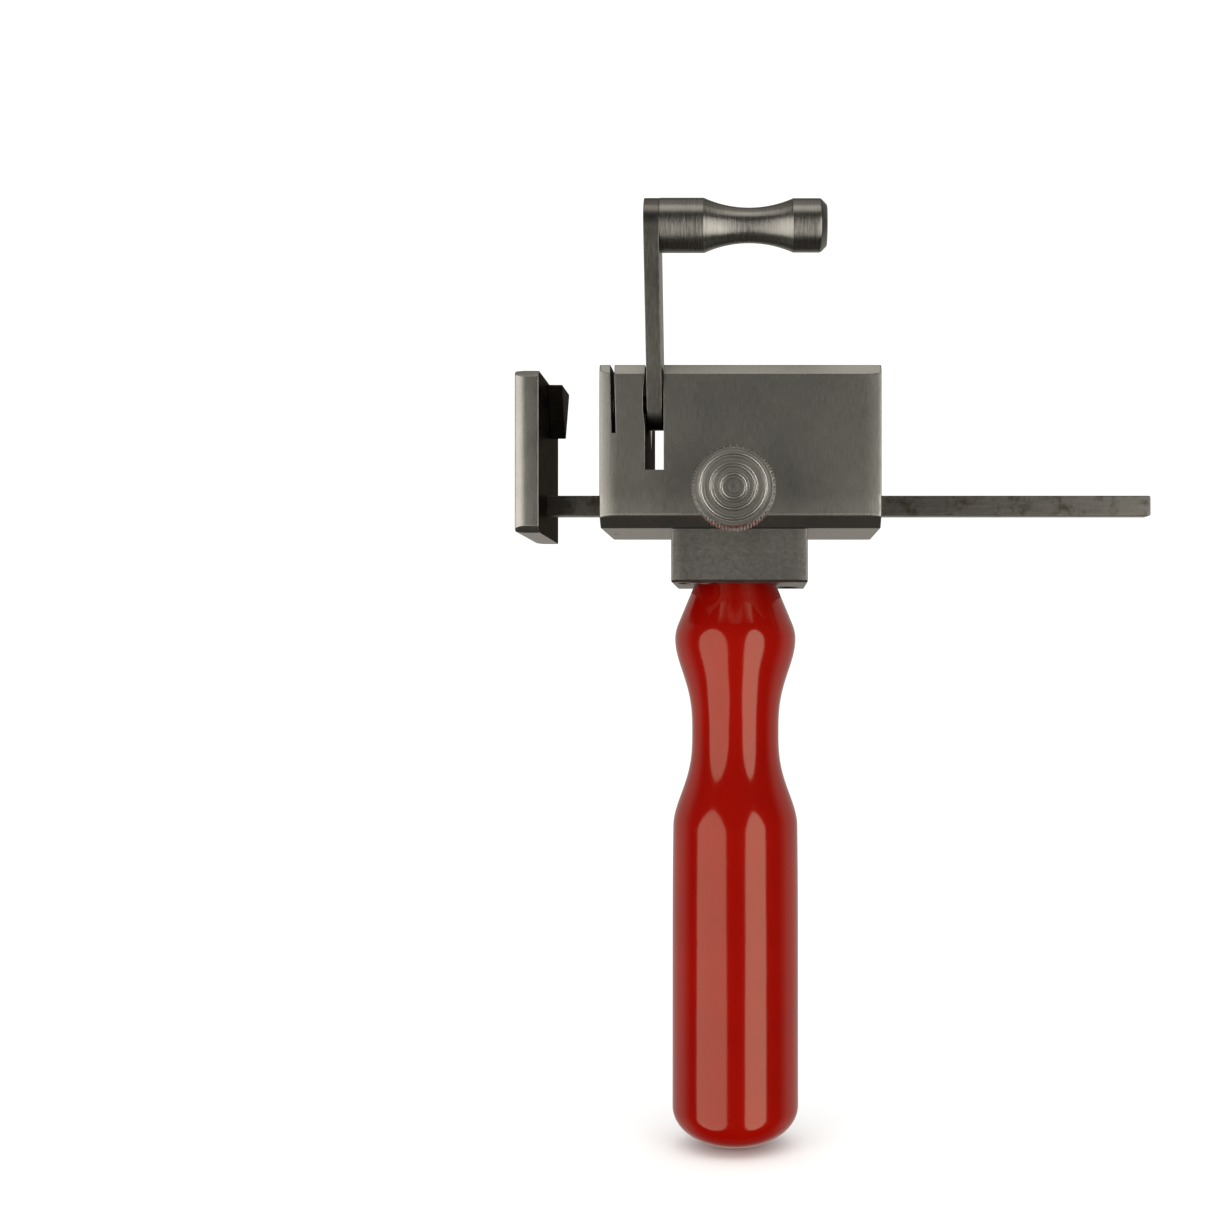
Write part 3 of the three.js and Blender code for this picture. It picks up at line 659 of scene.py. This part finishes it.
spool_place, SPOOL_LENGTH = axis_frame("lever_spool", "right")
BASE_RADIUS, SPOOL_END_RADIUS, NECK_RADIUS, BASE_LENGTH, NECK_LENGTH = 4.65, 4.57, 3.0, 7.7, 15.5
sagitta = (BASE_RADIUS + SPOOL_END_RADIUS) / 2 - NECK_RADIUS
half = NECK_LENGTH / 2
arc = (half ** 2 + sagitta ** 2) / (2 * sagitta)
spool_profile = [(0, 0), (BASE_RADIUS - 0.15, 0), (BASE_RADIUS, 0.15), (BASE_RADIUS, BASE_LENGTH)]
for s in range(1, 40):
    t = s / 40
    dip = math.sqrt(arc ** 2 - ((t - 0.5) * 2 * half) ** 2) - (arc - sagitta)
    spool_profile.append((BASE_RADIUS + (SPOOL_END_RADIUS - BASE_RADIUS) * t - dip,
                          BASE_LENGTH + NECK_LENGTH * t))
end_start = BASE_LENGTH + NECK_LENGTH
CHAMFER = 1.1
spool_profile += fillet([(SPOOL_END_RADIUS, end_start), (SPOOL_END_RADIUS, SPOOL_LENGTH - CHAMFER),
                         (SPOOL_END_RADIUS - CHAMFER, SPOOL_LENGTH), (0, SPOOL_LENGTH)],
                        [0, 0.7, 0.5, 0], 4, False)
spool = turned("spool", spool_place, spool_profile, 112)
done(spool, "lever_spool", "lever", SPOOL_STEEL, sharp=12)

screw_place, screw_length = axis_frame("spool_screw", "right")
head = turned("spool_fixing_screw", screw_place, fillet(
    [(0, 0), (3.3, 0), (1.9, 1.4), (1.9, screw_length), (0, screw_length)],
    [0, 0.12, 0.1, 0.3, 0], 3, False), 64)
cut(head, [box_cutter(screw_place, (-4, -0.4, -1), (4, 0.4, 0.7))])
done(head, "spool_screw", "lever", THREAD_STEEL)


# ---- Stop --------------------------------------------------------------------------------

plate_place, (PLATE_X, PLATE_Y, PLATE_Z) = corner_frame("stop_plate")
BEVEL = 1.2
plate = bar("stop_plate_piece", plate_place,
            [(0, 0), (PLATE_Z - BEVEL, 0), (PLATE_Z, BEVEL), (PLATE_Z, PLATE_Y - BEVEL),
             (PLATE_Z - BEVEL, PLATE_Y), (0, PLATE_Y)],
            [0.3, 0.25, 0.25, 0.25, 0.25, 0.3], 0, PLATE_X, 0.16,
            rolls=((2, 0.42, 0.06), (5, 0.15, 0.0), (4, 0.2, 0.0), (0, 0.2, 0.0)), roll_length=2.0)
rod_low, rod_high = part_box("stop_rod")
cut_low = plate_place.inverted() @ Vector((rod_low.x, rod_high.y, rod_low.z)) / MM
cut_high = plate_place.inverted() @ Vector((rod_high.x, rod_low.y, rod_high.z)) / MM
slack = 0.03
cut(plate, [box_cutter(plate_place, (-past, cut_low.y - slack, cut_low.z - slack),
                       (PLATE_X + past, cut_high.y + slack, cut_high.z + slack))])
done(plate, "stop_plate", "stop", PLATE_STEEL, weighted=True)
# The inner face, towards the block, gets the dark steel: painted shade in the gap between plate and block.
plate.data.materials.append(INNER_SHADE_STEEL)
for face in plate.data.polygons:
    if face.normal.x > 0.9:
        face.material_index = 1

nose_place, (NOSE_X, NOSE_Y, NOSE_Z) = corner_frame("stop_nose")
nose = bar("stop_nose_piece", nose_place,
           [(NOSE_Z / 2 - 0.25, 0), (NOSE_Z / 2 + 0.25, 0), (NOSE_Z, NOSE_Y), (0, NOSE_Y)],
           [0.1, 0.1, 0.25, 0.25], 0, NOSE_X, 0.12)
done(nose, "stop_nose", "stop", NOSE_SHADE_STEEL, weighted=True)

rod_place, (ROD_X, ROD_H, ROD_D) = corner_frame("stop_rod")
rod = bar("stop_rod_piece", rod_place, [(0, 0), (ROD_D, 0), (ROD_D, ROD_H), (0, ROD_H)], [0.18] * 4,
          0, ROD_X, 0.4)
done(rod, "stop_rod", "stop", ROD_STEEL, weighted=True)


# ---- Thumb screw -------------------------------------------------------------------------

thread_place, THREAD_LENGTH = axis_frame("thumb_screw", "front")
THREAD_RADIUS, PITCH, THREAD_DEPTH = 2.5, 0.8, 0.42


def helix(radius, z, angle):
    if radius < THREAD_RADIUS - 1e-6:
        return radius, z
    phase = (z / PITCH - angle / (2 * math.pi)) % 1
    fade = min(1, max(0, (z - 0.6) / 1.2))
    groove = max(0, min(1, (abs(phase - 0.5) * 2 - 0.12) / 0.74))
    return THREAD_RADIUS - THREAD_DEPTH * groove * fade - 0.25 * (1 - fade), z


profile = [(0, 0.02), (THREAD_RADIUS - 0.6, 0.02)]
turns = int((THREAD_LENGTH - 0.2) / PITCH * 8)
profile += [(THREAD_RADIUS, 0.2 + (THREAD_LENGTH - 0.2) * s / turns) for s in range(turns + 1)]
profile.append((0, THREAD_LENGTH))
thread = turned("thumb_thread", thread_place, profile, 40, helix)
done(thread, "thumb_screw", "thumb", THREAD_STEEL, sharp=50)

knob_place, KNOB_THICKNESS = axis_frame("thumb_knob", "front")
KNOB_RADIUS, KNOB_EDGE, TEETH, KNURL_DEPTH = 7.2, 0.6, 38, 0.42
DIAMOND_HEIGHT = 1.15


def knurl(radius, z, angle):
    """Diamond knurling on the rim, fading out over the two chamfers."""
    if radius < KNOB_RADIUS - KNOB_EDGE - 1e-6:
        return radius, z
    turn = angle / (2 * math.pi) * TEETH
    slant = z / DIAMOND_HEIGHT
    left = abs(((turn + slant) % 1) - 0.5) * 2
    right = abs(((turn - slant) % 1) - 0.5) * 2
    fade = min(1, max(0, (radius - (KNOB_RADIUS - KNOB_EDGE)) / (KNOB_EDGE * 0.8)))
    return radius - KNURL_DEPTH * max(left, right) * fade, z


knob_profile = [(0, 0.05), (2.5, 0.05), (2.62, 0), (KNOB_RADIUS - KNOB_EDGE, 0)]
knob_profile += [(KNOB_RADIUS - KNOB_EDGE + KNOB_EDGE * s / 4, KNOB_EDGE * s / 4) for s in range(1, 5)]
rim = KNOB_THICKNESS - 2 * KNOB_EDGE
knob_profile += [(KNOB_RADIUS, KNOB_EDGE + rim * s / 32) for s in range(1, 33)]
knob_profile += [(KNOB_RADIUS - KNOB_EDGE * s / 4, KNOB_THICKNESS - KNOB_EDGE + KNOB_EDGE * s / 4)
                 for s in range(1, 5)]
face_radius = KNOB_RADIUS - KNOB_EDGE
RING_PITCH, RING_DEPTH = 0.50, 0.036
ring_steps = 130
for s in range(1, ring_steps):
    radius = face_radius * (1 - s / ring_steps)
    wobble = 0.5 + 0.5 * math.cos(2 * math.pi * radius / RING_PITCH + 0.9 * math.sin(radius * 2.1))
    wobble *= (0.65 + 0.35 * math.sin(radius * 3.7)) * min(1, radius / 1.3)
    hollow = 0.05 * (1 - (radius / face_radius) ** 2)
    knob_profile.append((radius, KNOB_THICKNESS - RING_DEPTH * wobble - hollow))
knob_profile.append((0, KNOB_THICKNESS - 0.16))
knob = turned("knurled_knob", knob_place, knob_profile, TEETH * 8, knurl)
done(knob, "thumb_knob", "thumb", KNOB_STEEL, sharp=60)


# ---- Camera, floor and light -------------------------------------------------------------

camera = bpy.data.objects.new("camera", bpy.data.cameras.new("camera"))
bpy.context.scene.collection.objects.link(camera)
camera.data.lens = 46.42
camera.data.sensor_width = 36
camera.data.shift_x = -0.1239
camera.data.shift_y = 0.0514
camera.data.clip_start = 0.01
camera.data.clip_end = 100
EYE_RIGHT, EYE_UP, EYE_AWAY = 28.0, -24.35, 276.8
eye = block_place @ (Vector((EYE_RIGHT, EYE_UP, BLOCK_DEPTH + EYE_AWAY)) * MM)
camera.matrix_world = Matrix.Translation(eye) @ STAND_UP
bpy.context.scene.camera = camera

low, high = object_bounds()
middle = (low + high) / 2


def pale_floor():
    bm = bmesh.new()
    bmesh.ops.create_circle(bm, cap_ends=True, radius=14, segments=96)
    mesh = bpy.data.meshes.new("floor")
    bm.to_mesh(mesh)
    bm.free()
    floor = bpy.data.objects.new("floor", mesh)
    bpy.context.scene.collection.objects.link(floor)
    floor.location = (middle.x, middle.y, low.z - 0.0002)
    floor.visible_glossy = False
    floor.visible_shadow = False
    s = Shader("pale_floor")
    s.set(Base_Color=(0.92, 0.92, 0.92, 1), Roughness=1.0, Specular_IOR_Level=0.0)
    mesh.materials.append(s.material)


AIM_ABOVE = 0.02


def softbox(name, azimuth, elevation, distance, width, height, radiance):
    """An area light that faces a point above the part's middle. azimuth is 0 in front, + to the right."""
    aim = Vector((middle.x, middle.y, middle.z + AIM_ABOVE))
    az, el = math.radians(azimuth), math.radians(elevation)
    away = Vector((math.sin(az) * math.cos(el), -math.cos(az) * math.cos(el), math.sin(el)))
    light = bpy.data.lights.new(name, "AREA")
    light.shape = "ELLIPSE" if elevation < 30 else "RECTANGLE"
    light.color = (1.0, 0.96, 0.88)
    light.size, light.size_y = width, height
    light.energy = radiance * math.pi * width * height
    lamp = bpy.data.objects.new(name, light)
    lamp.location = aim + away * distance
    lamp.rotation_euler = away.to_track_quat("Z", "Y").to_euler()
    lamp.visible_camera = False
    bpy.context.scene.collection.objects.link(lamp)


pale_floor()
softbox("softbox_left", -45, -15, 0.8, 0.84, 1.32, 1.9)
softbox("softbox_right", 37.5, -15, 0.8, 0.56, 1.32, 2.6)
softbox("softbox_top", 0, 64, 0.8, 0.9, 0.40, 1.3)


def room_light(tree, low, high, axis, at_low, at_high):
    """A smooth fall from one brightness to another with the direction's x, y or z."""
    direction = tree.nodes.new("ShaderNodeTexCoord")
    split = tree.nodes.new("ShaderNodeSeparateXYZ")
    fall = tree.nodes.new("ShaderNodeMapRange")
    fall.interpolation_type = "SMOOTHSTEP"
    for key, number in (("From Min", low), ("From Max", high), ("To Min", at_low), ("To Max", at_high)):
        fall.inputs[key].default_value = number
    tree.links.new(direction.outputs["Generated"], split.inputs[0])
    tree.links.new(split.outputs[axis], fall.inputs["Value"])
    return fall.outputs["Result"]


def studio_world():
    """A white room. In reflections its front half and the space below are dark, as where a
    photographer and a table stand. The half behind the jig is brighter, and so is straight above."""
    world = bpy.data.worlds.new("studio")
    bpy.context.scene.world = world
    world.use_nodes = True
    world.cycles.sampling_method = "NONE"
    tree = world.node_tree
    tree.nodes.clear()
    output = tree.nodes.new("ShaderNodeOutputWorld")
    shade = tree.nodes.new("ShaderNodeBackground")
    white = tree.nodes.new("ShaderNodeBackground")
    white.inputs["Color"].default_value = (1, 1, 1, 1)
    white.inputs["Strength"].default_value = 1.12
    path = tree.nodes.new("ShaderNodeLightPath")
    choose = tree.nodes.new("ShaderNodeMixShader")
    back = room_light(tree, -0.1, 0.4, "Y", 0.03, 0.5)
    below = room_light(tree, -0.9, -0.5, "Z", 0.15, 1.0)
    above = room_light(tree, 0.35, 0.8, "Z", 1.0, 0.25)
    ceiling = room_light(tree, 0.80, 0.98, "Z", 0.0, 0.42)
    light = back
    for operation, other in (("MULTIPLY", below), ("MULTIPLY", above), ("ADD", ceiling)):
        step = tree.nodes.new("ShaderNodeMath")
        step.operation = operation
        tree.links.new(light, step.inputs[0])
        tree.links.new(other, step.inputs[1])
        light = step.outputs[0]
    tree.links.new(light, shade.inputs["Strength"])
    shade.inputs["Color"].default_value = (1.0, 0.94, 0.85, 1)
    tree.links.new(path.outputs["Is Glossy Ray"], choose.inputs[0])
    tree.links.new(white.outputs[0], choose.inputs[1])
    tree.links.new(shade.outputs[0], choose.inputs[2])
    tree.links.new(choose.outputs[0], output.inputs["Surface"])


studio_world()
bpy.context.scene.view_settings.view_transform = "Standard"
